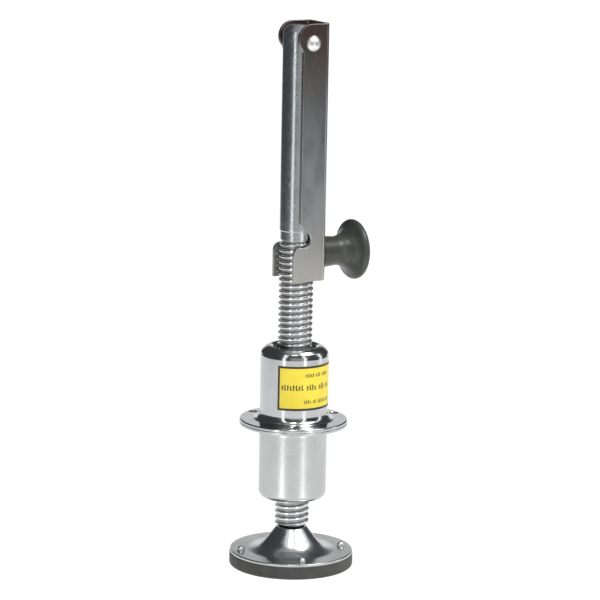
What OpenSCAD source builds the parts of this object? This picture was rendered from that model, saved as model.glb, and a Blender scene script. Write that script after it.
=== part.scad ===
// Bolt-on leveling jack: flanged cup housing, trapezoidal screw, folding crank handle, swivel foot.
// Millimetres. Z is up, the origin is the middle of the pad's floor face, +X is the handle's side.

/* [Screw] */
// Outside diameter of the thread and of the plain shank
screw_d = 22.2; // [18:0.1:30]
// Pitch of the single-start right-hand thread
pitch = 3.8; // [3:0.1:6]
// Depth of the thread
thread_depth = 1.6; // [1:0.1:2.5]
// Width of the thread's crest
crest_w = 1.4; // [1:0.1:2]
// Straight pieces in one turn of the thread
turn_pieces = 20; // [16:1:24]
// Number of turns on the screw
screw_turns = 49; // [30:1:55]
// Height of the ridge's middle where the thread starts
thread_z = 29.3; // [28:0.1:34]
// Turns over which the thread grows to its full depth at the lower end
thread_lead_in = 0.3; // [0.2:0.1:1]
// Turns over which the thread fades out at the upper end
thread_run_out = 2; // [0.5:0.5:3]
// Height of the flat top of the shank
shank_top_z = 348.7; // [300:0.1:380]
// Chamfer round the shank's top
shank_chamfer = 3.6; // [1:0.1:5]
// Height where the reduced band starts
band_z = 212.7; // [180:0.1:230]
// Height where the full shank starts
shank_z = 218.9; // [185:0.1:240]
// Radius of the reduced band
band_r = 10.6; // [9:0.1:12]

/* [Housing] */
// Height of the joint between the two flanges
flange_z = 94.6; // [80:0.1:110]
// Sheet thickness of the cups
cup_t = 2; // [1:0.1:3]
// Outside radius of the upper cup
upper_r = 21.8; // [18:0.1:28]
// Outside radius of the lower cup
lower_r = 21.6; // [18:0.1:28]
// Height of the upper cup above the joint
upper_h = 49.7; // [30:0.1:70]
// Height of the lower cup below the joint
lower_h = 49.7; // [30:0.1:70]
// Radius of the flanges
flange_r = 34.6; // [30:0.1:45]
// Fillet between flange and wall
flange_fillet = 4.4; // [2:0.1:6]
// Fillet at the upper cup's closed end
upper_fillet = 6; // [3:0.1:6]
// Fillet at the lower cup's closed end
lower_fillet = 4.2; // [3:0.1:6]
// Radius of the hole for the screw in each cup
cup_hole_r = 13.1; // [12:0.1:16]
// Radius of the bolt circle in the flanges
bolt_circle_r = 30; // [28:0.1:40]
// Radius of a bolt hole
bolt_hole_r = 2.8; // [2:0.1:4]
// Number of bolt holes
bolt_count = 3; // [3:1:6]

/* [Label] */
// Height of the label's lower edge
label_z = 106; // [100:0.1:120]
// Height of the label
label_h = 28.7; // [15:0.1:35]
// Angle round the cup that the label covers
label_angle = 142; // [60:1:180]
// Angle where the label starts
label_start = -148; // [-180:1:0]
// Thickness of the label
label_t = 0.2; // [0.1:0.05:0.5]

/* [Handle] */
// Outside width of the channel
channel_w = 26.8; // [26:0.1:34]
// Sheet thickness of the channel
channel_t = 2; // [1.5:0.1:3]
// Outside radius of the channel's bends
channel_bend = 3.9; // [2.5:0.1:6]
// Distance from the screw's axis to the outside of the web
web_x = 14.5; // [13.5:0.1:18]
// Height of the channel's lower end
channel_z = 187.5; // [160:0.1:200]
// Height of the channel's upper end
channel_top_z = 350.3; // [320:0.1:370]
// Position across the screw of the channel's narrow edge
edge_x = -5.1; // [-8:0.1:0]
// Position across the screw of the clip's edge
clip_x = -9.8; // [-11:0.1:-6]
// Radius of the clip's upper corner
clip_corner = 5; // [2:0.1:8]
// Radius of the notch above the clip
notch_r = 5.1; // [3:0.1:6]
// Height of the notch's middle
notch_z = 214.3; // [205:0.1:220]
// Position across the screw of the notch's middle
notch_x = -2.2; // [-3:0.1:2]
// Height of the sloping lead above the notch
notch_lead = 4.9; // [1:0.1:8]
// Radius of the ear round the pivot
ear_r = 9.4; // [8:0.1:14]
// Position across the screw of the ear's outermost point
ear_left = -8.5; // [-12:0.1:-6]
// Height of the pivot
pivot_z = 338.2; // [300:0.1:350]
// Offset of the pivot from the screw's axis
pivot_x = 1.8; // [0:0.1:3]
// Radius of the pivot rivet's shank
pivot_r = 3.2; // [2.5:0.1:4]
// Radius of the pivot rivet's domed heads
rivet_head_r = 5; // [4:0.1:7]
// Height of the pivot rivet's domed heads
rivet_head_h = 3.2; // [2:0.1:4]

/* [Knob] */
// Height of the knob's axis
knob_z = 203.3; // [190:0.1:215]
// Radius of the knob's disc
knob_r = 19.25; // [15:0.05:25]
// Radius of the knob's stem at the web
knob_stem_r = 10.2; // [8:0.1:14]
// Radius of the knob's waist
knob_waist_r = 9.25; // [7:0.05:12]
// Distance from the web to the knob's domed face
knob_len = 30.6; // [25:0.1:40]
// Radius of the knob's axle
axle_r = 4; // [3:0.1:5]

/* [Foot] */
// Radius of the rubber pad
pad_r = 39.8; // [30:0.1:50]
// Thickness of the rubber pad
pad_h = 8.3; // [5:0.1:15]
// Radius of the foot plate
plate_r = 39.6; // [30:0.1:50]
// Sheet thickness of the foot plate
plate_t = 1.8; // [1:0.1:3]
// Radius of the plate's trumpet curve on its outer side
trumpet_curve = 16; // [10:0.1:18]
// Radius where the trumpet meets the flat of the plate
trumpet_r = 29; // [26:0.1:30]
// Slope of the trumpet's upper, straight part
trumpet_slope = 52; // [45:1:58]
// Height of the trumpet's rim
trumpet_top_z = 25.7; // [24:0.1:27]
// Radius of the ball at the screw's end
ball_r = 6; // [5:0.1:7]
// Height of the ball's centre
ball_z = 16.2; // [15:0.1:18]
// Radius of the stem above the ball
stem_r = 4.2; // [3.5:0.1:5]
// Wall of the bearing liner round the ball
liner_t = 1.2; // [0.8:0.1:2]
// Radius of the circle of small rivets
foot_rivet_circle = 33; // [28:0.1:36]
// Angle of the first small rivet
foot_rivet_angle = -17.6; // [-45:0.1:45]

/* [Hidden] */
$fn = 96;
eps = 0.01;
seat_gap = 0.02;
ball_gap = 0.1;
part_gap = 0.3;
fit_gap = 0.08;

screw_r = screw_d / 2;
root_r = screw_r - thread_depth;
flank = tan(14.5);
ridge_w = crest_w + 2 * thread_depth * flank;
thread_gap = 0.3;
nut_crest_r = screw_r + thread_gap;
nut_root_r = root_r + thread_gap;
nut_crest_w = crest_w - 2 * thread_gap * flank + 2 * thread_gap;
nut_ridge_w = nut_crest_w + 2 * (nut_crest_r - nut_root_r) * flank;

upper_top = flange_z + upper_h;
lower_bottom = flange_z - lower_h;
lip_bend = 2.6;
lip_h = 1;
lip_clear_r = cup_hole_r + cup_t + 0.4;
nut_z = 114;
nut_h = upper_top - cup_t - nut_z;
nut_r = upper_r - cup_t - seat_gap;
nut_edge = upper_fillet - cup_t + 0.1;
nut_chamfer = 1;
nut_lead_turns = ceil((nut_z - 6 - thread_z) / pitch) - 1;
nut_turns = ceil((nut_h + 8) / pitch) + 1;
bush_z = lower_bottom + cup_t;
bush_h = 13.4;
bush_r = lower_r - cup_t - seat_gap;
bush_edge = lower_fillet - cup_t + 0.4;
bush_chamfer = 1;
sleeve_wall = 2.4;

web_in_x = web_x - channel_t;
flange_end_x = clip_x - 2;
relief_r = web_in_x - pivot_x - 0.2;
ear_x = ear_left + ear_r;
ear_z = channel_top_z - ear_r;
ear_in_y = channel_w / 2 - channel_t;
taper_angle = 30;
taper_root_r = ear_r - 0.2;
taper_dx = taper_root_r * cos(taper_angle);
taper_dz = taper_root_r * sin(taper_angle);
taper_x = ear_x - taper_dx;
taper_z = ear_z - taper_dz;
taper_end_z = taper_z - (edge_x - taper_x) / tan(taper_angle);
clip_top_z = notch_z - notch_r + 0.2;
corner_x = clip_x + clip_corner;
corner_z = clip_top_z - clip_corner;

knob_washer_t = 0.9;
knob_washer_r = 9.6;
knob_x = web_x + knob_washer_t + part_gap;
knob_face_x = web_x + knob_len;
knob_rim_r = 2.5;
knob_rim_x = knob_face_x - 3.6;
knob_rim_centre = knob_r - knob_rim_r;
knob_flare = 13;
knob_flare_r = knob_waist_r + knob_flare;
knob_flare_x = knob_rim_x - sqrt(pow(knob_flare + knob_rim_r, 2) - pow(knob_flare_r - knob_rim_centre, 2));
knob_dome_r = 124;
knob_recess_r = 7;
knob_recess_x = web_x + 25;
axle_head_r = 6.4;
axle_head_t = 2.6;
axle_tail_r = 6.5;
axle_tail_t = 0.8;

plate_z = pad_h + plate_t;
plate_edge = 0.5;
cone_z = plate_z + trumpet_curve * (1 - cos(trumpet_slope));
cone_len = (trumpet_top_z - cone_z) / sin(trumpet_slope);
cone_root = 0.3;
liner_in_r = ball_r + ball_gap;
liner_r = liner_in_r + liner_t;
liner_cut = 3.6;
socket_r = liner_r + ball_gap;
socket_base_r = 13;
socket_top_r = 10;
socket_top_z = ball_z + liner_cut;
seal_z = 22;
seal_t = 1.2;
seal_r = 5.8;
collar_z = 27;
collar_low_r = 9.2;
collar_r = root_r + 0.4;
collar_mid_z = 27.7;
collar_top_z = 32.2;
foot_rivet_r = 1.5;
foot_rivet_head_r = 2.4;
foot_rivet_head_h = 2.8;
foot_rivet_low_z = 3;

// Flat quarter of a ring, in the quadrant given by the two signs.
module ring_quarter(inner, wall, sx, sy) {
    outer = inner + wall;
    intersection() {
        difference() {
            circle(r = outer);
            circle(r = inner);
        }
        translate([sx > 0 ? 0 : -outer, sy > 0 ? 0 : -outer])
            square(outer);
    }
}

// Flat piece of a ring between two angles less than 90 degrees apart.
module ring_sector(inner, wall, from, to) {
    far = 2 * (inner + wall);
    intersection() {
        difference() {
            circle(r = inner + wall);
            circle(r = inner);
        }
        polygon([[0, 0], far * [cos(from), sin(from)], far * [cos(to), sin(to)]]);
    }
}

// Section of a drawn cup standing on its flange, closed end up, with a rolled-in lip round the hole.
module cup_section(r, h, end_fillet) {
    translate([r + flange_fillet, 0])
        square([flange_r - r - flange_fillet, cup_t]);
    translate([r + flange_fillet, cup_t + flange_fillet])
        ring_quarter(flange_fillet, cup_t, -1, -1);
    translate([r - cup_t, cup_t + flange_fillet])
        square([cup_t, h - cup_t - flange_fillet - end_fillet]);
    translate([r - end_fillet, h - end_fillet])
        ring_quarter(end_fillet - cup_t, cup_t, 1, 1);
    translate([cup_hole_r + lip_bend, h - cup_t])
        square([r - end_fillet - cup_hole_r - lip_bend, cup_t]);
    translate([cup_hole_r + lip_bend, h - lip_bend])
        ring_quarter(lip_bend - cup_t, cup_t, -1, 1);
    translate([cup_hole_r, h - lip_bend - lip_h])
        square([cup_t, lip_h]);
}

module bolt_holes() {
    for (i = [0 : bolt_count - 1])
        rotate([0, 0, i * 360 / bolt_count])
            translate([bolt_circle_r, 0, flange_z - 2 * cup_t])
                cylinder(r = bolt_hole_r, h = 4 * cup_t);
}

module upper_cup() {
    color([0.72, 0.73, 0.76])
        difference() {
            translate([0, 0, flange_z])
                rotate_extrude()
                    cup_section(upper_r, upper_h, upper_fillet);
            bolt_holes();
        }
}

module lower_cup() {
    color([0.72, 0.73, 0.76])
        difference() {
            translate([0, 0, flange_z])
                mirror([0, 0, 1])
                    rotate_extrude()
                        cup_section(lower_r, lower_h, lower_fillet);
            bolt_holes();
        }
}

// Rod with a helical ridge, closed at both ends by helical ramps.
// lead_in and run_out are the turns over which the ridge grows and fades.
module threaded_rod(z0, turns, inner, outer, top_w, base_w, lead_in, run_out) {
    n = turn_pieces;
    m = turns * n;
    half = [-base_w / 2, -top_w / 2, top_w / 2, base_w / 2];
    points = [
        for (i = [0 : m], j = [0 : 3])
            let (
                a = 360 * i / n,
                grow = min(1, i / (lead_in * n), (m - i) / (run_out * n)),
                r = j == 0 || j == 3 ? inner : inner + (outer - inner) * grow
            )
            [r * cos(a), r * sin(a), z0 + pitch * i / n + half[j]],
        [0, 0, z0 + half[0]],
        [0, 0, z0 + pitch * turns + half[3]]
    ];
    low = 4 * (m + 1);
    high = low + 1;
    flanks = [
        for (i = [0 : m - 1], j = [0 : 2])
            let (a = 4 * i + j)
            each [[a, a + 1, a + 5], [a, a + 5, a + 4]]
    ];
    roots = [
        for (i = [0 : m - n - 1])
            let (a = 4 * i + 3, b = 4 * (i + n))
            each [[a, b, b + 4], [a, b + 4, a + 4]]
    ];
    low_ramp = [for (i = [0 : n - 1]) [low, 4 * i, 4 * i + 4]];
    low_wall = [[low, 4 * n, 3], [low, 3, 2], [low, 2, 1], [low, 1, 0]];
    high_ramp = [for (i = [m - n : m - 1]) [high, 4 * i + 7, 4 * i + 3]];
    e = 4 * m;
    high_wall = [[high, 4 * (m - n) + 3, e], [high, e, e + 1], [high, e + 1, e + 2], [high, e + 2, e + 3]];
    polyhedron(points, concat(flanks, roots, low_ramp, low_wall, high_ramp, high_wall), convexity = 60);
}

module load_nut() {
    color([0.72, 0.58, 0.33])
        difference() {
            translate([0, 0, nut_z])
                rotate_extrude()
                    polygon([
                        [0, 0],
                        [nut_r - nut_chamfer, 0],
                        [nut_r, nut_chamfer],
                        [nut_r, nut_h - nut_edge],
                        [nut_r - nut_edge, nut_h],
                        [0, nut_h]
                    ]);
            threaded_rod(thread_z + nut_lead_turns * pitch, nut_turns, nut_root_r, nut_crest_r,
                nut_crest_w, nut_ridge_w, 0.5, 0.5);
            translate([0, 0, upper_top - lip_bend - lip_h - 0.4])
                cylinder(r = lip_clear_r, h = 20);
        }
}

module spacer_sleeve() {
    color([0.5, 0.5, 0.52])
        translate([0, 0, bush_z + bush_h])
            rotate_extrude()
                translate([bush_r - sleeve_wall, 0])
                    square([sleeve_wall, nut_z - bush_z - bush_h]);
}

module guide_bush() {
    color([0.88, 0.87, 0.82])
        difference() {
            translate([0, 0, bush_z])
                rotate_extrude()
                    polygon([
                        [nut_crest_r, 0],
                        [bush_r - bush_edge, 0],
                        [bush_r, bush_edge],
                        [bush_r, bush_h],
                        [nut_crest_r + bush_chamfer, bush_h],
                        [nut_crest_r, bush_h - bush_chamfer]
                    ]);
            cylinder(r = lip_clear_r, h = lower_bottom + lip_bend + lip_h + 0.4);
        }
}

module label() {
    color([0.99, 0.86, 0.1])
        translate([0, 0, label_z])
            rotate([0, 0, label_start])
                rotate_extrude(angle = label_angle)
                    translate([upper_r + eps, 0])
                        square([label_t, label_h]);
}

module stem_seal() {
    color([0.2, 0.2, 0.2])
        translate([0, 0, seal_z])
            rotate_extrude()
                translate([stem_r + fit_gap, 0])
                    square([seal_r - stem_r - fit_gap, seal_t]);
}

// Ball, stem and the plain collar that the thread grows out of.
module screw_end() {
    rotate_extrude() {
        intersection() {
            translate([0, ball_z])
                circle(r = ball_r);
            translate([0, ball_z - ball_r])
                square([ball_r, 2 * ball_r]);
        }
        translate([0, ball_z])
            square([stem_r, collar_z + 1 - ball_z]);
        polygon([
            [0, collar_z],
            [collar_low_r, collar_z],
            [collar_r, collar_mid_z],
            [collar_r, collar_top_z],
            [0, collar_top_z]
        ]);
    }
}

module shank() {
    difference() {
        rotate_extrude()
            polygon([
                [0, band_z],
                [band_r, band_z],
                [band_r, shank_z - screw_r + band_r],
                [screw_r, shank_z],
                [screw_r, shank_top_z - shank_chamfer],
                [screw_r - shank_chamfer, shank_top_z],
                [0, shank_top_z]
            ]);
        translate([pivot_x, screw_d, pivot_z])
            rotate([90, 0, 0])
                cylinder(r = pivot_r + seat_gap, h = 2 * screw_d);
        translate([pivot_x, 0, pivot_z])
            rotate([90, 0, 0])
                difference() {
                    translate([0, 0, -screw_d])
                        cube([screw_d, screw_d, 2 * screw_d]);
                    translate([0, 0, -screw_d - 1])
                        cylinder(r = relief_r, h = 2 * screw_d + 2);
                }
    }
}

module jack_screw() {
    color([0.66, 0.68, 0.72]) {
        screw_end();
        threaded_rod(thread_z, screw_turns, root_r, screw_r, crest_w, ridge_w,
            thread_lead_in, thread_run_out);
        shank();
    }
}

module pivot_rivet() {
    dome_r = (rivet_head_r * rivet_head_r + rivet_head_h * rivet_head_h) / (2 * rivet_head_h);
    seat_y = channel_w / 2 + 0.25;
    color([0.78, 0.79, 0.8])
        translate([pivot_x, 0, pivot_z])
            rotate([90, 0, 0]) {
                translate([0, 0, -seat_y - 1])
                    cylinder(r = pivot_r, h = 2 * seat_y + 2);
                for (side = [0, 1])
                    mirror([0, 0, side])
                        translate([0, 0, seat_y])
                            rotate_extrude()
                                intersection() {
                                    translate([0, rivet_head_h - dome_r])
                                        circle(r = dome_r);
                                    square(dome_r + 1);
                                }
            }
}

// Cross-section of the channel, open towards -X.
module channel_section() {
    bend_y = channel_w / 2 - channel_bend;
    translate([web_in_x, -bend_y])
        square([channel_t, 2 * bend_y]);
    for (side = [0, 1])
        mirror([0, side]) {
            translate([web_x - channel_bend, bend_y])
                ring_quarter(channel_bend - channel_t, channel_t, 1, 1);
            translate([flange_end_x, ear_in_y])
                square([web_x - channel_bend - flange_end_x, channel_t]);
        }
}

// Side view of the channel: clip at the bottom, notch, narrow flange, ear at the top.
module channel_outline() {
    difference() {
        union() {
            polygon([
                [web_x + 1, channel_z],
                [web_x + 1, channel_top_z],
                [ear_x, channel_top_z],
                [ear_x, ear_z],
                [taper_x, taper_z],
                [edge_x, taper_end_z],
                [edge_x, notch_z + notch_r + notch_lead],
                [notch_x + notch_r / 2, notch_z],
                [notch_x, notch_z],
                [notch_x, clip_top_z],
                [corner_x, clip_top_z],
                [corner_x, corner_z],
                [clip_x, corner_z],
                [clip_x, channel_z]
            ]);
            translate([ear_x, ear_z])
                circle(r = ear_r);
            translate([corner_x, corner_z])
                circle(r = clip_corner);
        }
        translate([notch_x, notch_z])
            circle(r = notch_r);
    }
}

module handle_channel() {
    color([0.6, 0.58, 0.56])
        difference() {
            intersection() {
                translate([0, 0, channel_z - 5])
                    linear_extrude(channel_top_z - channel_z + 10)
                        channel_section();
                translate([0, channel_w, 0])
                    rotate([90, 0, 0])
                        linear_extrude(2 * channel_w)
                            channel_outline();
            }
            translate([pivot_x, channel_w, pivot_z])
                rotate([90, 0, 0])
                    cylinder(r = pivot_r + fit_gap, h = 2 * channel_w);
            translate([web_in_x - 5, 0, knob_z])
                rotate([0, 90, 0])
                    cylinder(r = axle_r + seat_gap, h = 15);
        }
}

module knob_axle() {
    color([0.74, 0.75, 0.77])
        translate([0, 0, knob_z])
            rotate([0, 90, 0])
                rotate_extrude()
                    polygon([
                        [0, web_in_x - axle_tail_t],
                        [axle_tail_r - 0.4, web_in_x - axle_tail_t],
                        [axle_tail_r, web_in_x - axle_tail_t / 2],
                        [axle_tail_r, web_in_x],
                        [axle_r, web_in_x],
                        [axle_r, knob_recess_x + part_gap],
                        [axle_head_r, knob_recess_x + part_gap],
                        [axle_head_r, knob_recess_x + part_gap + axle_head_t - 0.8],
                        [axle_head_r - 0.8, knob_recess_x + part_gap + axle_head_t],
                        [0, knob_recess_x + part_gap + axle_head_t]
                    ]);
}

module knob_washer() {
    color([0.62, 0.63, 0.65])
        translate([0, 0, knob_z])
            rotate([0, 90, 0])
                rotate_extrude()
                    translate([axle_r + seat_gap, web_x])
                        square([knob_washer_r - axle_r - seat_gap, knob_washer_t]);
}

module knob_section() {
    difference() {
        union() {
            polygon([
                [0, knob_x],
                [knob_stem_r - 0.5, knob_x],
                [knob_stem_r, knob_x + 0.5],
                [knob_waist_r, knob_flare_x],
                [0, knob_flare_x]
            ]);
            difference() {
                polygon([
                    [0, knob_flare_x],
                    [knob_flare_r, knob_flare_x],
                    [knob_rim_centre, knob_rim_x],
                    [0, knob_rim_x]
                ]);
                translate([knob_flare_r, knob_flare_x])
                    circle(r = knob_flare);
            }
            translate([knob_rim_centre, knob_rim_x])
                circle(r = knob_rim_r);
            intersection() {
                translate([0, knob_face_x - knob_dome_r])
                    circle(r = knob_dome_r, $fn = 240);
                translate([0, knob_rim_x - 1])
                    square([knob_rim_centre, 10]);
            }
        }
        translate([-1, knob_x - 1])
            square([axle_r + fit_gap + 1, 50]);
        translate([-1, knob_recess_x])
            square([knob_recess_r + 1, 50]);
    }
}

module knob() {
    color([0.31, 0.32, 0.29])
        translate([0, 0, knob_z])
            rotate([0, 90, 0])
                rotate_extrude()
                    knob_section();
}

module seat_liner() {
    color([0.85, 0.83, 0.76])
        rotate_extrude()
            intersection() {
                difference() {
                    translate([0, ball_z])
                        circle(r = liner_r);
                    translate([0, ball_z])
                        circle(r = liner_in_r);
                }
                translate([0, ball_z - liner_r])
                    square([liner_r, liner_r + liner_cut]);
            }
}

module foot_rivet_at(i) {
    rotate([0, 0, foot_rivet_angle + 90 * i])
        translate([foot_rivet_circle, 0, 0])
            children();
}

// Spun plate: flat rim rising in a trumpet curve to a straight cone with a broken edge at its mouth.
module foot_plate() {
    color([0.74, 0.75, 0.77])
        difference() {
            rotate_extrude() {
                polygon([
                    [trumpet_r, pad_h],
                    [plate_r - plate_edge, pad_h],
                    [plate_r, pad_h + plate_edge],
                    [plate_r, plate_z - plate_edge],
                    [plate_r - plate_edge, plate_z],
                    [trumpet_r, plate_z]
                ]);
                translate([trumpet_r, plate_z + trumpet_curve]) {
                    ring_sector(trumpet_curve, plate_t, -90 - trumpet_slope, -90);
                    rotate(-90 - trumpet_slope)
                        translate([trumpet_curve, 0])
                            polygon([
                                [eps, cone_root],
                                [eps, plate_edge - cone_len],
                                [plate_edge, -cone_len],
                                [plate_t - plate_edge, -cone_len],
                                [plate_t - eps, plate_edge - cone_len],
                                [plate_t - eps, cone_root]
                            ]);
                }
            }
            for (i = [0 : 3])
                foot_rivet_at(i)
                    cylinder(r = foot_rivet_r + seat_gap, h = 30);
        }
}

module ball_socket() {
    color([0.45, 0.46, 0.48])
        rotate_extrude()
            difference() {
                polygon([
                    [0, pad_h],
                    [socket_base_r, pad_h],
                    [socket_base_r, pad_h + 2],
                    [socket_top_r, pad_h + 6],
                    [socket_top_r, socket_top_z - 1],
                    [socket_top_r - 1, socket_top_z],
                    [0, socket_top_z]
                ]);
                translate([0, ball_z])
                    circle(r = socket_r);
            }
}

module rubber_pad() {
    edge = 1.2;
    color([0.29, 0.3, 0.28])
        difference() {
            rotate_extrude()
                polygon([
                    [0, 0],
                    [pad_r - edge, 0],
                    [pad_r, edge],
                    [pad_r, pad_h - 0.4],
                    [pad_r - 0.4, pad_h],
                    [0, pad_h]
                ]);
            for (i = [0 : 3])
                foot_rivet_at(i)
                    translate([0, 0, foot_rivet_low_z - seat_gap])
                        cylinder(r = foot_rivet_r + seat_gap, h = 30);
        }
}

module foot_rivet(i) {
    color([0.8, 0.81, 0.82])
        foot_rivet_at(i)
            rotate_extrude() {
                translate([0, foot_rivet_low_z])
                    square([foot_rivet_r, plate_z - foot_rivet_low_z]);
                translate([0, plate_z])
                    square([foot_rivet_head_r, foot_rivet_head_h - foot_rivet_head_r]);
                intersection() {
                    translate([0, plate_z + foot_rivet_head_h - foot_rivet_head_r])
                        circle(r = foot_rivet_head_r);
                    translate([0, plate_z])
                        square([foot_rivet_head_r, foot_rivet_head_h]);
                }
            }
}

module foot_rivet_1() {
    foot_rivet(0);
}

module foot_rivet_2() {
    foot_rivet(1);
}

module foot_rivet_3() {
    foot_rivet(2);
}

module foot_rivet_4() {
    foot_rivet(3);
}

upper_cup();
lower_cup();
load_nut();
spacer_sleeve();
guide_bush();
label();
stem_seal();
jack_screw();
pivot_rivet();
handle_channel();
knob_axle();
knob_washer();
knob();
seat_liner();
foot_plate();
ball_socket();
rubber_pad();
foot_rivet_1();
foot_rivet_2();
foot_rivet_3();
foot_rivet_4();
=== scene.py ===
"""Bolt-on leveling jack: fine geometry, materials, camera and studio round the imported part."""

import math

import bmesh
import bpy
from mathutils import Matrix, Vector


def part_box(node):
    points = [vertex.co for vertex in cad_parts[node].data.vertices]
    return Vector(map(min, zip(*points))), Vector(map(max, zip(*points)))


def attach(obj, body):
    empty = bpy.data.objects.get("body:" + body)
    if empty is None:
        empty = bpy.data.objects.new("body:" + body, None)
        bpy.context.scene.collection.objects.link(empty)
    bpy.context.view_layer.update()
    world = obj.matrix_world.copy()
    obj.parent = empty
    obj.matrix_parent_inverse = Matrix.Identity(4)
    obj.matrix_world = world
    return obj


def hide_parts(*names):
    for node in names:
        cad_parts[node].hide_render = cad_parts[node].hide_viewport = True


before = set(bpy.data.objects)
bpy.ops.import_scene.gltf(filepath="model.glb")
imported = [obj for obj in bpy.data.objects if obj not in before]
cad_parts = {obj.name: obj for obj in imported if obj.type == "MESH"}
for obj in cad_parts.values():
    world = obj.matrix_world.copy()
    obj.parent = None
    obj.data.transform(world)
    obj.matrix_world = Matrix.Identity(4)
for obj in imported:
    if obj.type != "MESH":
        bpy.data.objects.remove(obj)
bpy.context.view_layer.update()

MM = 0.001
FLANGE_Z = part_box("upper_cup")[0].z / MM
UPPER_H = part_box("upper_cup")[1].z / MM - FLANGE_Z
LOWER_H = FLANGE_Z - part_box("lower_cup")[0].z / MM
FLANGE_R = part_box("upper_cup")[1].x / MM
SCREW_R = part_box("jack_screw")[1].y / MM
SHANK_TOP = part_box("jack_screw")[1].z / MM
PAD_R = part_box("rubber_pad")[1].y / MM
PAD_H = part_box("rubber_pad")[1].z / MM
PLATE_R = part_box("foot_plate")[1].y / MM
MOUTH_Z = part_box("foot_plate")[1].z / MM
RIVET_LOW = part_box("pivot_rivet")[0] / MM
RIVET_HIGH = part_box("pivot_rivet")[1] / MM
CHANNEL_W = (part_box("handle_channel")[1].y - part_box("handle_channel")[0].y) / MM

# The part's own sizes that no node's box gives
CUP_T = 2.0
UPPER_R = 21.8
LOWER_R = 21.6
UPPER_BEND = 6
LOWER_BEND = 4.2
PITCH = 3.8
THREAD_DEPTH = 1.6
PLATE_T = 1.8
LABEL_R = 22.01

# The visible thread starts one turn lower than the CAD thread and is faced off at its lower end
THREAD_Z = 25.5
THREAD_TURNS = 50
THREAD_END_Z = 26.7

SMOOTH_ANGLE = 38
VIEW_AZIMUTH = -30.2


def braced(outline, closed):
    """Adds a point near both ends of each long stretch, so that smooth shading keeps it straight."""
    near = 0.25
    long_stretch = 1.5
    count = len(outline)
    points = []
    for i, here in enumerate(outline):
        points.append(here)
        if i == count - 1 and not closed:
            break
        there = outline[(i + 1) % count]
        length = math.dist(here, there)
        if length > long_stretch:
            for part in (near / length, 1 - near / length):
                points.append(tuple(a + (b - a) * part for a, b in zip(here, there)))
    return points


def rounded(corners, closed, steps=5):
    """Outline through corners (x, y, radius), each corner turned into an arc of that radius."""
    count = len(corners)
    outline = []
    for i, (x, y, radius) in enumerate(corners):
        if radius == 0 or (not closed and i in (0, count - 1)):
            outline.append((x, y))
            continue
        here = Vector((x, y))
        before = (Vector(corners[i - 1][:2]) - here).normalized()
        after = (Vector(corners[(i + 1) % count][:2]) - here).normalized()
        half = before.angle(after) / 2
        centre = here + (before + after).normalized() * radius / math.sin(half)
        start = here + before * radius / math.tan(half) - centre
        turn = start.angle_signed(here + after * radius / math.tan(half) - centre)
        for k in range(steps + 1):
            a = -turn * k / steps
            outline.append((
                centre.x + start.x * math.cos(a) - start.y * math.sin(a),
                centre.y + start.x * math.sin(a) + start.y * math.cos(a),
            ))
    return braced(outline, closed)


def finish_mesh(name, bm, smooth_angle=SMOOTH_ANGLE):
    """Object from a bmesh in millimetres, shaded smooth up to an angle."""
    bmesh.ops.remove_doubles(bm, verts=bm.verts, dist=1e-4)
    bmesh.ops.recalc_face_normals(bm, faces=bm.faces)
    bmesh.ops.scale(bm, vec=(MM, MM, MM), verts=bm.verts)
    mesh = bpy.data.meshes.new(name)
    bm.to_mesh(mesh)
    bm.free()
    mesh.shade_smooth()
    mesh.set_sharp_from_angle(angle=math.radians(smooth_angle))
    obj = bpy.data.objects.new(name, mesh)
    bpy.context.scene.collection.objects.link(obj)
    return obj


def spin_profile(bm, profile, closed, segments, place=Matrix.Identity(4)):
    """Surface of revolution round Z; profile points are (radius, height)."""
    rings = []
    for k in range(segments):
        a = 2 * math.pi * k / segments
        ring = [bm.verts.new(place @ Vector((r * math.cos(a), r * math.sin(a), z))) for r, z in profile]
        rings.append(ring)
    last = len(profile) if closed else len(profile) - 1
    for k in range(segments):
        one = rings[k]
        two = rings[(k + 1) % segments]
        for j in range(last):
            n = (j + 1) % len(profile)
            quad = [one[j], two[j], two[n], one[n]]
            bm.faces.new(quad)


def lathe(name, corners, closed=False, segments=192, place=Matrix.Identity(4)):
    """Turned piece from corners (radius, height, rounding)."""
    bm = bmesh.new()
    spin_profile(bm, rounded(corners, closed), closed, segments, place)
    return finish_mesh(name, bm)


def cut(obj, cutter):
    """Takes the cutter's shape out of the object for good."""
    modifier = obj.modifiers.new("cut", "BOOLEAN")
    modifier.operation = "DIFFERENCE"
    modifier.solver = "EXACT"
    modifier.object = cutter
    bpy.context.view_layer.update()
    graph = bpy.context.evaluated_depsgraph_get()
    mesh = bpy.data.meshes.new_from_object(obj.evaluated_get(graph))
    obj.modifiers.clear()
    obj.data = mesh
    mesh.shade_smooth()
    mesh.set_sharp_from_angle(angle=math.radians(SMOOTH_ANGLE))
    bpy.data.objects.remove(cutter)


def dress(obj, material, body=None, replaced=()):
    """Gives a piece its material and, for a new piece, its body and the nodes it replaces."""
    obj.data.materials.clear()
    obj.data.materials.append(material)
    if body is None:
        return
    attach(obj, body)
    if replaced:
        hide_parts(*replaced)


# Fine geometry


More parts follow.
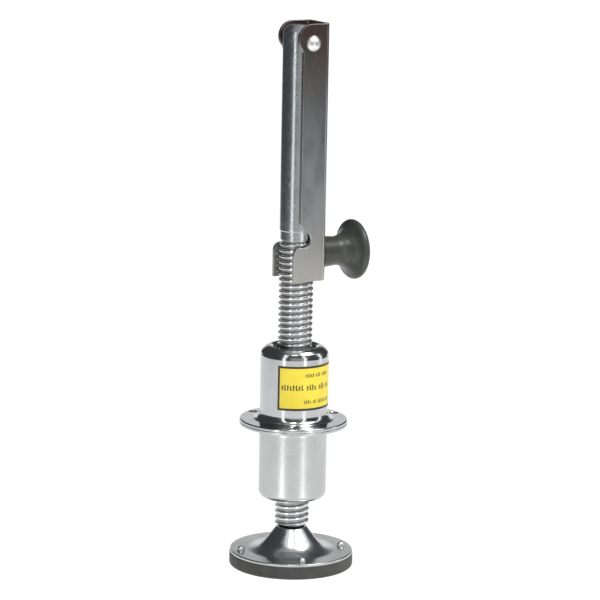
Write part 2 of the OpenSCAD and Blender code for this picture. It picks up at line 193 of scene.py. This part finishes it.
def cup(name, wall_r, height, bend, up):
    """Deep-drawn cup on its flange, with a rolled-in lip and three deburred bolt holes."""
    lip = 13.1
    lip_low = height - 3.6
    flange_bend = 4.4
    bolt_circle_r = 30
    bolt_count = 3
    hole_r = 2.8
    burr_r = 4.95
    burr = 0.25
    clear = 4
    corners = [
        (FLANGE_R, 0, 0.35),
        (FLANGE_R, CUP_T, 0.7),
        (wall_r, CUP_T, flange_bend),
        (wall_r, height, bend),
        (lip, height, 2.6),
        (lip, lip_low, 0.3),
        (lip + CUP_T, lip_low, 0.3),
        (lip + CUP_T, height - CUP_T, 0.6),
        (wall_r - CUP_T, height - CUP_T, bend - CUP_T),
        (wall_r - CUP_T, 0, flange_bend + CUP_T),
    ]
    side = 1 if up else -1
    place = Matrix.Translation((0, 0, FLANGE_Z)) @ Matrix.Diagonal((1, 1, side, 1))
    obj = lathe(name, corners, closed=True, segments=240, place=place)
    hole = [
        (0, -clear, 0),
        (burr_r, -clear, 0),
        (hole_r, burr - CUP_T, 0),
        (hole_r, CUP_T - burr, 0),
        (burr_r, clear, 0),
        (0, clear, 0),
    ]
    for i in range(bolt_count):
        a = math.radians(360 / bolt_count * i)
        spot = Matrix.Translation((bolt_circle_r * math.cos(a), bolt_circle_r * math.sin(a), FLANGE_Z))
        cut(obj, lathe("hole_cutter", hole, segments=48, place=spot))
    return obj


def thread_section():
    """One ridge of a trapezoidal thread with broken edges, as (along, above the root) points."""
    flank_angle = 14.5
    crest = 1.4
    base = crest + 2 * THREAD_DEPTH * math.tan(math.radians(flank_angle))
    corners = [
        (-PITCH / 2, 0, 0),
        (-base / 2, 0, 0.25),
        (-crest / 2, THREAD_DEPTH, 0.2),
        (crest / 2, THREAD_DEPTH, 0.2),
        (base / 2, 0, 0.25),
        (PITCH / 2, 0, 0),
    ]
    return rounded(corners, False, steps=2)


def thread_rows(bm, section, per_turn):
    """The section carried up a single-start helix, cut off flat with a chamfer at the lower end."""
    grow_in_turns = 0.3
    fade_out_turns = 2
    chamfer_slope = 1.5
    root = SCREW_R - THREAD_DEPTH
    total = per_turn * THREAD_TURNS
    rows = []
    for i in range(total + 1):
        a = 2 * math.pi * i / per_turn
        grow = min(1, i / (grow_in_turns * per_turn), (total - i) / (fade_out_turns * per_turn))
        z = THREAD_Z + PITCH * i / per_turn
        row = []
        for dz, high in section:
            level = max(z + dz, THREAD_END_Z)
            chamfer = root + chamfer_slope * (level - THREAD_END_Z)
            r = min(root + high * grow, chamfer)
            row.append(bm.verts.new((r * math.cos(a), r * math.sin(a), level)))
        rows.append(row)
    return rows


def thread(name):
    """Single-start threaded rod, closed at both ends."""
    per_turn = 64
    bm = bmesh.new()
    section = thread_section()
    rows = thread_rows(bm, section, per_turn)
    total = len(rows) - 1
    for one, two in zip(rows, rows[1:]):
        for j in range(len(section) - 1):
            bm.faces.new([one[j], two[j], two[j + 1], one[j + 1]])
    low = bm.verts.new((0, 0, THREAD_END_Z))
    high = bm.verts.new((0, 0, THREAD_Z + PITCH * THREAD_TURNS + PITCH / 2))
    for i in range(per_turn):
        bm.faces.new([low, rows[i][0], rows[i + 1][0]])
        bm.faces.new([high, rows[total - i][-1], rows[total - i - 1][-1]])
    for j in range(len(section) - 1):
        bm.faces.new([low, rows[0][j], rows[0][j + 1]])
        bm.faces.new([high, rows[total][j], rows[total][j + 1]])
    bmesh.ops.remove_doubles(bm, verts=bm.verts, dist=1e-3)
    bmesh.ops.dissolve_degenerate(bm, dist=1e-4, edges=bm.edges)
    return finish_mesh(name, bm, 50)


def shank(name):
    """Plain upper shank with a reduced band, a chamfered top and a milled relief for the handle's web."""
    band = 10.6
    band_z = 212.7
    full_z = 218.9
    chamfer = 3.6
    clear = 40
    half_width = 20
    arc_steps = 32
    corners = [
        (0, band_z, 0),
        (band, band_z, 0.2),
        (band, full_z - SCREW_R + band, 0.2),
        (SCREW_R, full_z, 0.3),
        (SCREW_R, SHANK_TOP - chamfer, 0.8),
        (SCREW_R - chamfer, SHANK_TOP, 0.6),
        (0, SHANK_TOP, 0),
    ]
    obj = lathe(name, corners, segments=256)
    pivot = (RIVET_LOW + RIVET_HIGH) / 2
    reach = SHANK_TOP - pivot.z
    outline = [(pivot.x + clear, pivot.z)]
    for k in range(arc_steps + 1):
        a = math.radians(90 * k / arc_steps)
        outline.append((pivot.x + reach * math.cos(a), pivot.z + reach * math.sin(a)))
    outline.append((pivot.x, pivot.z + clear))
    outline.append((pivot.x + clear, pivot.z + clear))
    bm = bmesh.new()
    near = [bm.verts.new((x, -half_width, z)) for x, z in outline]
    far = [bm.verts.new((x, half_width, z)) for x, z in outline]
    bm.faces.new(near)
    bm.faces.new(far)
    for k in range(len(outline)):
        n = (k + 1) % len(outline)
        bm.faces.new([near[k], near[n], far[n], far[k]])
    cut(obj, finish_mesh("relief_cutter", bm))
    return obj


def screw_end(name):
    """Ball and stem under the thread."""
    ball_z = 16.2
    ball_r = 6
    stem_r = 4.2
    steps = 24
    bm = bmesh.new()
    last = math.asin(stem_r / ball_r)
    profile = []
    for k in range(steps + 1):
        a = math.pi - (math.pi - last) * k / steps
        profile.append((ball_r * math.sin(a), ball_z + ball_r * math.cos(a)))
    profile += [(stem_r, 23), (stem_r, THREAD_END_Z + 0.5), (0, THREAD_END_Z + 0.5)]
    spin_profile(bm, profile, False, 96)
    return finish_mesh(name, bm)


def foot_plate(name):
    """Spun plate: a flat rim, a trumpet curve and a cone with a rolled mouth."""
    slope = math.radians(52)
    curve = 16
    flat_inner_r = 29
    top = PAD_H + PLATE_T
    tangent = (flat_inner_r - curve * math.sin(slope), top + curve * (1 - math.cos(slope)))
    inner = (tangent[0] - PLATE_T * math.sin(slope), tangent[1] - PLATE_T * math.cos(slope))
    rise = (MOUTH_Z - tangent[1]) / math.tan(slope)
    corners = [
        (PLATE_R, PAD_H, 0.35),
        (PLATE_R, top, 0.7),
        (tangent[0] + (tangent[1] - top) / math.tan(slope), top, curve),
        (tangent[0] - rise, MOUTH_Z, 0.85),
        (tangent[0] - rise - PLATE_T * math.sin(slope), MOUTH_Z - PLATE_T * math.cos(slope), 0.85),
        (inner[0] + (inner[1] - PAD_H) / math.tan(slope), PAD_H, curve + PLATE_T),
    ]
    bm = bmesh.new()
    spin_profile(bm, rounded(corners, True, steps=16), True, 256)
    return finish_mesh(name, bm)


def rubber_pad(name):
    """Rubber sole, a plain disc with a soft lower edge."""
    corners = [(0, 0, 0), (PAD_R, 0, 1.4), (PAD_R, PAD_H, 0.6), (0, PAD_H, 0)]
    return lathe(name, corners, segments=256)


def pivot_rivet(name):
    """Rivet through both ears, with a domed head on each side."""
    centre = (RIVET_LOW + RIVET_HIGH) / 2
    reach = (RIVET_HIGH.y - RIVET_LOW.y) / 2
    seat = CHANNEL_W / 2 + 0.25
    head = (RIVET_HIGH.x - RIVET_LOW.x) / 2
    high = reach - seat
    dome = (head * head + high * high) / (2 * high)
    half = math.asin(head / dome)
    steps = 16
    upper = []
    for k in range(steps + 1):
        a = half * k / steps
        upper.append((dome * math.sin(a), reach - dome + dome * math.cos(a)))
    upper.append((head - 0.3, seat - 0.05))
    upper.append((3.2, seat))
    profile = [(r, z) for r, z in upper] + [(r, -z) for r, z in reversed(upper)]
    bm = bmesh.new()
    place = Matrix.Translation(centre) @ Matrix.Rotation(math.radians(90), 4, "X")
    spin_profile(bm, profile, False, 96, place)
    return finish_mesh(name, bm)


def printed_patch(bm, from_angle, to_angle, low, high):
    """Thin curved patch of ink on the label."""
    steps = max(1, math.ceil(abs(to_angle - from_angle) / 2))
    inner = LABEL_R - 0.02
    outer = LABEL_R + 0.03
    rings = []
    for k in range(steps + 1):
        a = math.radians(from_angle + (to_angle - from_angle) * k / steps)
        ring = []
        for r, z in ((inner, low), (outer, low), (outer, high), (inner, high)):
            ring.append(bm.verts.new((r * math.cos(a), r * math.sin(a), z)))
        rings.append(ring)
    for one, two in zip(rings, rings[1:]):
        for j in range(4):
            n = (j + 1) % 4
            bm.faces.new([one[j], two[j], two[n], one[n]])
    bm.faces.new(rings[0])
    bm.faces.new(rings[-1])


def print_row(bm, start, end, base, tall, gap, words):
    """Row of strokes, grouped like words, that says nothing."""
    stem_w = 0.42
    bar_w = 0.8
    bar_h = 0.14
    step = 1.05
    degree = math.degrees(1 / LABEL_R)
    a = start
    word = 0
    while a < end:
        for k in range(words[word % len(words)]):
            if a > end:
                break
            top = base + tall * (1 if k % 3 else 0.8)
            printed_patch(bm, a, a + stem_w * gap * degree, base, top)
            foot = base + tall * (0.12 if k % 2 else 0.5)
            printed_patch(bm, a, a + bar_w * gap * degree, foot, foot + bar_h * tall)
            a += gap * degree * step
        a += gap * degree
        word += 1


def label_print(name):
    """Border and rows of plain strokes that stand for print."""
    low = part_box("label")[0].z / MM
    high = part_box("label")[1].z / MM
    first = -148
    last = -6
    edge = 1.4
    side = math.degrees(edge / LABEL_R)
    bm = bmesh.new()
    printed_patch(bm, first, last, low, low + edge)
    printed_patch(bm, first, last, high - edge, high)
    printed_patch(bm, first, first + side, low, high)
    printed_patch(bm, last - side, last, low, high)
    print_row(bm, -101, -52, high - 7.2, 2.5, 1.25, (5, 3))
    print_row(bm, -141, -50, high - 15.6, 3.7, 1.75, (8, 4, 3))
    print_row(bm, -103, -48, low + 4.4, 2.5, 1.25, (4, 2, 5))
    return finish_mesh(name, bm, 20)


# Materials


def new_material(name):
    """Empty material with a Principled shader."""
    material = bpy.data.materials.new(name)
    material.use_nodes = True
    return material


def principled(material):
    return material.node_tree.nodes["Principled BSDF"]


def add(material, kind, **inputs):
    """New shader node; inputs are set by name, with _ for a space, or by number as n0, n1."""
    made = material.node_tree.nodes.new("ShaderNode" + kind)
    for key, value in inputs.items():
        socket = int(key[1:]) if key[0] == "n" and key[1:].isdigit() else key.replace("_", " ")
        made.inputs[socket].default_value = value
    return made


def wire(material, out, into):
    material.node_tree.links.new(out, into)


def calc(material, operation, first, second):
    """One operation on two values, each a socket or a number."""
    made = add(material, "Math")
    made.operation = operation
    for socket, value in zip(made.inputs, (first, second)):
        if isinstance(value, (int, float)):
            socket.default_value = value
        else:
            wire(material, value, socket)
    return made.outputs[0]


def place_mm(material):
    """Place on the object in millimetres."""
    coords = add(material, "TexCoord")
    scale = add(material, "VectorMath")
    scale.operation = "SCALE"
    scale.inputs["Scale"].default_value = 1000
    wire(material, coords.outputs["Object"], scale.inputs[0])
    return scale.outputs[0]


def around(material, along_r, along_a, along_z):
    """Place as radius, angle and height, each stretched, for marks that run round the Z axis."""
    split = add(material, "SeparateXYZ")
    wire(material, place_mm(material), split.inputs[0])
    x, y, z = split.outputs
    x_squared = calc(material, "MULTIPLY", x, x)
    y_squared = calc(material, "MULTIPLY", y, y)
    radius = calc(material, "SQRT", calc(material, "ADD", x_squared, y_squared), 0)
    angle = calc(material, "ARCTAN2", y, x)
    join = add(material, "CombineXYZ")
    wire(material, calc(material, "MULTIPLY", radius, along_r), join.inputs[0])
    wire(material, calc(material, "MULTIPLY", angle, along_a), join.inputs[1])
    wire(material, calc(material, "MULTIPLY", z, along_z), join.inputs[2])
    return join.outputs[0]


def stretched(material, x, y, z):
    """Place in millimetres times a factor along each axis."""
    scale = add(material, "VectorMath")
    scale.operation = "MULTIPLY"
    scale.inputs[1].default_value = (x, y, z)
    wire(material, place_mm(material), scale.inputs[0])
    return scale.outputs[0]


def noise(material, vector, detail, rough):
    """Noise whose size is set by the vector."""
    made = add(material, "TexNoise", Scale=1.0, Detail=detail, Roughness=rough)
    wire(material, vector, made.inputs["Vector"])
    return made.outputs["Fac"]


def spread(material, value, low, high, to_low, to_high):
    """Value moved from one range to another, held at the ends."""
    made = add(material, "MapRange", From_Min=low, From_Max=high, To_Min=to_low, To_Max=to_high)
    wire(material, value, made.inputs["Value"])
    return made.outputs["Result"]


def tint(material, value, stops):
    """Colour from a value, through (place, colour) stops."""
    made = add(material, "ValToRGB")
    ramp = made.color_ramp
    while len(ramp.elements) < len(stops):
        ramp.elements.new(0.5)
    for element, (where, colour) in zip(ramp.elements, stops):
        element.position = where
        element.color = (*colour, 1)
    wire(material, value, made.inputs[0])
    return made.outputs[0]


def blend_colour(material, factor, one, two):
    """Mix of two colours, each a socket or a colour, by a factor."""
    made = add(material, "Mix")
    made.data_type = "RGBA"
    made.blend_type = "MIX"
    for socket, value in ((made.inputs[0], factor), (made.inputs[6], one), (made.inputs[7], two)):
        if isinstance(value, (int, float)):
            socket.default_value = value
        elif isinstance(value, tuple):
            socket.default_value = (*value, 1)
        else:
            wire(material, value, socket)
    return made.outputs[2]


def bump(material, height, strength, distance, normal=None):
    """Normal from a height, laid over another normal where one is given."""
    made = add(material, "Bump", Strength=strength, Distance=distance)
    wire(material, height, made.inputs["Height"])
    if normal is not None:
        wire(material, normal, made.inputs["Normal"])
    return made.outputs[0]


def soft_edges(material, radius):
    """Normal that rounds sharp edges by a small radius."""
    made = add(material, "Bevel", Radius=radius * MM)
    made.samples = 4
    return made.outputs[0]


def edge_mask(material, radius):
    """1 near sharp edges, 0 elsewhere."""
    geometry = add(material, "NewGeometry")
    dot = add(material, "VectorMath")
    dot.operation = "DOT_PRODUCT"
    wire(material, soft_edges(material, radius), dot.inputs[0])
    wire(material, geometry.outputs["Normal"], dot.inputs[1])
    return spread(material, dot.outputs["Value"], 0.999, 0.9, 0, 1)


def brushed_round(material, amount):
    """Stretches highlights across marks that run round the Z axis."""
    shader = principled(material)
    shader.inputs["Anisotropic"].default_value = amount
    direction = add(material, "Tangent")
    direction.direction_type = "RADIAL"
    direction.axis = "Z"
    wire(material, direction.outputs[0], shader.inputs["Tangent"])


def weighted(material, first, share, second, rest):
    """Sum of two sockets, each times a number."""
    one = calc(material, "MULTIPLY", first, share)
    two = calc(material, "MULTIPLY", second, rest)
    return calc(material, "ADD", one, two)


def varied(material, value, patches, amount):
    """Value raised and lowered by patches of noise."""
    centred = calc(material, "SUBTRACT", patches, 0.5)
    return calc(material, "ADD", value, calc(material, "MULTIPLY", centred, amount))


def spun_metal(name, dark, light, rough, lines, line_depth, streak):
    """Plated metal with fine marks round the axis, faint clouding and finger-soft smudges."""
    material = new_material(name)
    shader = principled(material)
    fine = noise(material, around(material, lines, 0.7, lines), 5, 0.7)
    cloud = noise(material, stretched(material, 0.09, 0.09, 0.06), 3, 0.5)
    smudge = noise(material, stretched(material, 0.35, 0.35, 0.2), 4, 0.6)
    tone = weighted(material, cloud, 0.7, fine, 0.3)
    wire(material, tint(material, tone, [(0.3, dark), (0.7, light)]), shader.inputs["Base Color"])
    gloss = weighted(material, smudge, 0.6, fine, 0.4)
    wire(material, spread(material, gloss, 0.3, 0.7, rough[0], rough[1]), shader.inputs["Roughness"])
    pits = noise(material, stretched(material, 2.2, 2.2, 2.2), 2, 0.5)
    grooves = bump(material, fine, 0.35, line_depth * MM)
    wire(material, bump(material, pits, 0.1, 0.003 * MM, grooves), shader.inputs["Normal"])
    shader.inputs["Metallic"].default_value = 1
    brushed_round(material, streak)
    return material


def thread_metal(name):
    """Rolled thread: roots painted darker than the crests as painted shade, fine marks along the turn."""
    material = new_material(name)
    shader = principled(material)
    split = add(material, "SeparateXYZ")
    wire(material, around(material, 1, 1, 1), split.inputs[0])
    depth = spread(material, split.outputs[0], SCREW_R - THREAD_DEPTH, SCREW_R, 0, 1)
    fine = noise(material, around(material, 4, 1.5, 4), 5, 0.7)
    shade_patches = noise(material, around(material, 0.4, 3, 0.35), 4, 0.6)
    # Painted shade: the roots are painted darker than the crests, varied in noisy patches.
    root_shade = varied(material, depth, shade_patches, 0.7)
    base = tint(material, root_shade, [
        (0.0, (0.34, 0.34, 0.34)),
        (0.45, (0.54, 0.54, 0.54)),
        (0.9, (0.72, 0.73, 0.74)),
    ])
    wire(material, base, shader.inputs["Base Color"])
    wire(material, spread(material, root_shade, 0, 1, 0.4, 0.2), shader.inputs["Roughness"])
    wire(material, bump(material, fine, 0.3, 0.012 * MM), shader.inputs["Normal"])
    shader.inputs["Metallic"].default_value = 1
    return material


def handle_metal(name):
    """Plated pressed sheet, painted darker and browner towards the pivot as painted reflection, with
    drawing marks and edges painted lighter, partly wear and partly painted highlight.
    """
    material = new_material(name)
    shader = principled(material)
    grain = noise(material, stretched(material, 2.6, 2.6, 0.06), 5, 0.65)
    patches = noise(material, stretched(material, 0.12, 0.12, 0.05), 4, 0.55)
    specks = noise(material, stretched(material, 1.1, 1.1, 1.1), 2, 0.5)
    split = add(material, "SeparateXYZ")
    wire(material, place_mm(material), split.inputs[0])
    # Painted reflection: the sheet is painted darker and browner towards the top, near the pivot.
    height = spread(material, split.outputs[2], 190, 350, 0, 1)
    tone = varied(material, height, patches, 0.5)
    base = tint(material, tone, [
        (0.02, (0.68, 0.66, 0.61)),
        (0.24, (0.54, 0.56, 0.57)),
        (0.6, (0.42, 0.43, 0.44)),
        (0.82, (0.27, 0.25, 0.23)),
        (0.97, (0.21, 0.13, 0.1)),
    ])
    lined = blend_colour(material, spread(material, grain, 0.35, 0.7, 0, 0.16), base, (0.16, 0.16, 0.16))
    # Edges painted lighter: partly wear, partly painted highlight.
    edge_wear_and_highlight = edge_mask(material, 0.45)
    wire(material, blend_colour(material, edge_wear_and_highlight, lined, (0.72, 0.7, 0.68)), shader.inputs["Base Color"])
    gloss = spread(material, calc(material, "ADD", grain, patches), 0.7, 1.3, 0.27, 0.42)
    wire(material, gloss, shader.inputs["Roughness"])
    rough_coat = bump(material, specks, 0.1, 0.02 * MM, soft_edges(material, 0.3))
    wire(material, bump(material, grain, 0.25, 0.015 * MM, rough_coat), shader.inputs["Normal"])
    shader.inputs["Metallic"].default_value = 1
    return material


def label_vinyl(name):
    """Yellow vinyl, a little clouded and dusty."""
    material = new_material(name)
    shader = principled(material)
    cloud = noise(material, stretched(material, 0.15, 0.15, 0.12), 4, 0.6)
    fibre = noise(material, stretched(material, 3, 3, 3), 3, 0.6)
    base = tint(material, cloud, [(0.3, (0.95, 0.74, 0.045)), (0.7, (0.98, 0.82, 0.07))])
    dusty = blend_colour(material, spread(material, fibre, 0.4, 0.8, 0, 0.12), base, (0.55, 0.4, 0.1))
    wire(material, dusty, shader.inputs["Base Color"])
    wire(material, spread(material, cloud, 0.3, 0.7, 0.3, 0.45), shader.inputs["Roughness"])
    wire(material, bump(material, fibre, 0.1, 0.02 * MM), shader.inputs["Normal"])
    return material


def ink(name):
    """Dark print with small rubbed-off flecks."""
    material = new_material(name)
    shader = principled(material)
    fleck = noise(material, stretched(material, 2.5, 2.5, 2.5), 4, 0.65)
    base = tint(material, fleck, [(0.3, (0.012, 0.012, 0.01)), (0.75, (0.06, 0.055, 0.04))])
    wire(material, base, shader.inputs["Base Color"])
    wire(material, spread(material, fleck, 0.3, 0.7, 0.35, 0.5), shader.inputs["Roughness"])
    wire(material, bump(material, fleck, 0.08, 0.01 * MM), shader.inputs["Normal"])
    return material


def moulded(name, dark, light, rough, grain_size, depth):
    """Plastic or rubber with moulded grain, handling marks and paler rubbed patches."""
    material = new_material(name)
    shader = principled(material)
    grain = noise(material, stretched(material, grain_size, grain_size, grain_size), 3, 0.6)
    flow = noise(material, stretched(material, 0.1, 0.16, 0.16), 4, 0.6)
    scuff = noise(material, stretched(material, 0.5, 1.8, 0.6), 5, 0.7)
    base = tint(material, flow, [(0.3, dark), (0.7, light)])
    pale = tuple(min(1, 2.2 * c) for c in light)
    rubbed = blend_colour(material, spread(material, scuff, 0.58, 0.75, 0, 0.2), base, pale)
    wire(material, rubbed, shader.inputs["Base Color"])
    wire(material, spread(material, scuff, 0.3, 0.7, rough[0], rough[1]), shader.inputs["Roughness"])
    wire(material, bump(material, grain, 0.3, depth * MM), shader.inputs["Normal"])
    return material


def metals():
    """Finishes of the turned, drawn and pressed pieces."""
    return {
        "upper": spun_metal(
            "upper_plating", dark=(0.49, 0.5, 0.51), light=(0.55, 0.56, 0.57),
            rough=(0.13, 0.19), lines=1.6, line_depth=0.002, streak=0.3,
        ),
        "lower": spun_metal(
            "lower_plating", dark=(0.47, 0.48, 0.48), light=(0.54, 0.55, 0.55),
            rough=(0.22, 0.3), lines=1.6, line_depth=0.003, streak=0.5,
        ),
        "screw": spun_metal(
            "screw_polish", dark=(0.5, 0.53, 0.55), light=(0.6, 0.63, 0.65),
            rough=(0.2, 0.3), lines=1.2, line_depth=0.012, streak=0.3,
        ),
        "foot": spun_metal(
            "foot_polish", dark=(0.46, 0.48, 0.48), light=(0.6, 0.62, 0.62),
            rough=(0.2, 0.29), lines=1.3, line_depth=0.014, streak=0.2,
        ),
        "rivet": spun_metal(
            "rivet_plating", dark=(0.74, 0.74, 0.73), light=(0.88, 0.88, 0.87),
            rough=(0.34, 0.46), lines=3.0, line_depth=0.008, streak=0,
        ),
        "plain": spun_metal(
            "inner_turning", dark=(0.3, 0.3, 0.31), light=(0.44, 0.44, 0.45),
            rough=(0.3, 0.45), lines=2.0, line_depth=0.02, streak=0.8,
        ),
        "brass": spun_metal(
            "nut_turning", dark=(0.5, 0.33, 0.11), light=(0.66, 0.46, 0.18),
            rough=(0.22, 0.38), lines=2.0, line_depth=0.02, streak=0.8,
        ),
        "thread": thread_metal("thread_steel"),
        "sheet": handle_metal("handle_plating"),
    }


def plastics():
    """Finishes of the label and of the plastic and rubber pieces."""
    return {
        "yellow": label_vinyl("label_yellow"),
        "ink": ink("label_ink"),
        "knob": moulded(
            "knob_plastic", dark=(0.04, 0.043, 0.034), light=(0.065, 0.069, 0.056),
            rough=(0.26, 0.42), grain_size=2.5, depth=0.03,
        ),
        "rubber": moulded(
            "pad_rubber", dark=(0.045, 0.046, 0.041), light=(0.075, 0.076, 0.068),
            rough=(0.5, 0.68), grain_size=2.0, depth=0.06,
        ),
        "nylon": moulded(
            "nylon", dark=(0.66, 0.64, 0.56), light=(0.78, 0.76, 0.69),
            rough=(0.4, 0.55), grain_size=2.0, depth=0.03,
        ),
    }


def dress_fine_pieces(metal, plastic):
    """New pieces, most of which replace a CAD node."""
    upper = cup("upper_cup_fine", UPPER_R, UPPER_H, UPPER_BEND, True)
    dress(upper, metal["upper"], "housing", ["upper_cup"])
    lower = cup("lower_cup_fine", LOWER_R, LOWER_H, LOWER_BEND, False)
    dress(lower, metal["lower"], "housing", ["lower_cup"])
    dress(thread("screw_thread"), metal["thread"], "screw", ["jack_screw"])
    dress(shank("screw_shank"), metal["screw"], "screw", ["jack_screw"])
    dress(screw_end("screw_ball_end"), metal["screw"], "screw", ["jack_screw"])
    dress(foot_plate("foot_plate_fine"), metal["foot"], "foot", ["foot_plate"])
    dress(rubber_pad("rubber_pad_fine"), plastic["rubber"], "foot", ["rubber_pad"])
    dress(pivot_rivet("pivot_rivet_fine"), metal["rivet"], "screw", ["pivot_rivet"])
    dress(label_print("label_print"), plastic["ink"], "housing", [])


def dress_cad_nodes(metal, plastic):
    """Finishes for the CAD nodes whose shape stays."""
    finishes = {
        "load_nut": metal["brass"],
        "spacer_sleeve": metal["plain"],
        "guide_bush": plastic["nylon"],
        "label": plastic["yellow"],
        "stem_seal": plastic["rubber"],
        "handle_channel": metal["sheet"],
        "knob_axle": metal["rivet"],
        "knob_washer": metal["plain"],
        "knob": plastic["knob"],
        "seat_liner": plastic["nylon"],
        "ball_socket": metal["plain"],
    }
    for i in range(4):
        finishes[f"foot_rivet_{i + 1}"] = metal["rivet"]
    for node, material in finishes.items():
        dress(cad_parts[node], material)


def dress_all():
    metal = metals()
    plastic = plastics()
    dress_fine_pieces(metal, plastic)
    dress_cad_nodes(metal, plastic)


# Camera and studio


def toward_camera(turn):
    """Level direction from the object, turned from the camera's; positive is to the picture's right."""
    a = math.radians(VIEW_AZIMUTH + turn)
    return Vector((math.sin(a), -math.cos(a), 0))


def make_camera():
    """Long lens, a little above the object, looking down and leaning slightly."""
    distance = 1.8544
    height = 0.5433
    pitch = math.radians(11.28)
    yaw = math.radians(-0.0855)
    roll = math.radians(1.1056)
    out = toward_camera(0)
    level = Matrix.Rotation(yaw, 3, "Z") @ (-out)
    forward = Vector((level.x * math.cos(pitch), level.y * math.cos(pitch), -math.sin(pitch)))
    right = forward.cross(Vector((0, 0, 1))).normalized()
    up = right.cross(forward)
    leaned_right = right * math.cos(roll) + up * math.sin(roll)
    leaned_up = up * math.cos(roll) - right * math.sin(roll)
    data = bpy.data.cameras.new("camera")
    data.sensor_width = 36
    data.lens = 178.4
    camera = bpy.data.objects.new("camera", data)
    turn = Matrix((leaned_right, leaned_up, -forward)).transposed().to_4x4()
    camera.matrix_world = Matrix.Translation(out * distance + Vector((0, 0, height))) @ turn
    bpy.context.scene.collection.objects.link(camera)
    bpy.context.scene.camera = camera


def softbox(name, turn, distance, height, size, power, flat=False):
    """Rectangular lamp turned to the object, or lying flat and shining up."""
    data = bpy.data.lights.new(name, "AREA")
    data.shape = "RECTANGLE"
    data.size = size[0]
    data.size_y = size[1]
    data.energy = power
    lamp = bpy.data.objects.new(name, data)
    lamp.location = toward_camera(turn) * distance + Vector((0, 0, height))
    aim = Vector((0, 0, min(height, 0.2))) - lamp.location
    if flat:
        lamp.rotation_euler = (math.radians(180), 0, math.radians(VIEW_AZIMUTH + turn))
    else:
        lamp.rotation_euler = aim.to_track_quat("-Z", "Y").to_euler()
    lamp.visible_camera = False
    bpy.context.scene.collection.objects.link(lamp)


def studio_surface(name, outline, glow, grey):
    """Sheet from rows of points, with a plain grey of its own and a white glow."""
    bm = bmesh.new()
    rows = [[bm.verts.new(p) for p in row] for row in outline]
    for one, two in zip(rows, rows[1:]):
        for j in range(len(one) - 1):
            bm.faces.new([one[j], one[j + 1], two[j + 1], two[j]])
    mesh = bpy.data.meshes.new(name)
    bm.to_mesh(mesh)
    bm.free()
    mesh.shade_smooth()
    obj = bpy.data.objects.new(name, mesh)
    bpy.context.scene.collection.objects.link(obj)
    material = new_material(name)
    shader = principled(material)
    shader.inputs["Base Color"].default_value = (grey, grey, grey, 1)
    shader.inputs["Roughness"].default_value = 0.9
    shader.inputs["Emission Color"].default_value = (1, 1, 1, 1)
    shader.inputs["Emission Strength"].default_value = glow
    mesh.materials.append(material)
    return obj


def studio_dome():
    """White surround for the views from other sides; it lights nothing and nothing mirrors it."""
    radius = 6
    step = 15
    rows = []
    for i in range(180 // step + 1):
        tilt = math.radians(step * i - 90)
        row = []
        for k in range(360 // step + 1):
            a = math.radians(step * k)
            level = math.cos(tilt)
            row.append(radius * Vector((level * math.cos(a), level * math.sin(a), math.sin(tilt))))
        rows.append(row)
    dome = studio_surface("studio_dome", rows, 1, 0)
    dome.visible_diffuse = False
    dome.visible_glossy = False
    dome.visible_transmission = False
    dome.visible_shadow = False


def studio_floor():
    """Pale floor that curves up into a backdrop behind the object."""
    back = -toward_camera(0)
    side = toward_camera(90)
    half = 0.75
    near = -0.9
    far = 1.5
    bend = 0.35
    top = 0.62
    steps = 12
    path = [(near, 0), (far, 0)]
    for k in range(1, steps + 1):
        a = math.radians(90 * k / steps)
        path.append((far + bend * math.sin(a), bend * (1 - math.cos(a))))
    path.append((far + bend, top))
    rows = []
    for along, high in path:
        rows.append([back * along + side * s * half + Vector((0, 0, high)) for s in (-1, 0, 1)])
    studio_surface("studio_floor", rows, 0.95, 0.15)


def make_lamps():
    """Soft lamps. Narrow strips and lamps on the floor give the metal its long highlights."""
    strip = (0.05, 0.62)
    floor_strip = (0.035, 0.36)
    softbox("strip_left", -34, 0.42, 0.32, strip, 0.3)
    softbox("strip_right", 36, 0.42, 0.32, strip, 0.25)
    softbox("strip_side", 97, 0.6, 0.32, (0.12, 0.8), 0.5)
    softbox("floor_left", -34, 0.27, 0.004, floor_strip, 0.09, flat=True)
    softbox("floor_right", 35, 0.27, 0.004, floor_strip, 0.07, flat=True)
    softbox("softbox_front", 0, 0.75, 1.35, (0.24, 0.5), 5)
    softbox("softbox_top", 120, 0.1, 1.7, (1.4, 1.4), 1.8)
    softbox("softbox_side", 70, 0.9, 1.5, (0.8, 0.8), 15)
    softbox("fill_front", 14, 2.3, 0.0, (2.4, 1.6), 4.2)


def make_world():
    """Faint, slightly blue surround."""
    world = bpy.data.worlds.new("studio")
    world.use_nodes = True
    background = world.node_tree.nodes["Background"]
    background.inputs["Color"].default_value = (0.9, 0.95, 1, 1)
    background.inputs["Strength"].default_value = 0.07
    bpy.context.scene.world = world


dress_all()
make_camera()
studio_floor()
studio_dome()
make_lamps()
make_world()
bpy.context.scene.view_settings.view_transform = "Standard"
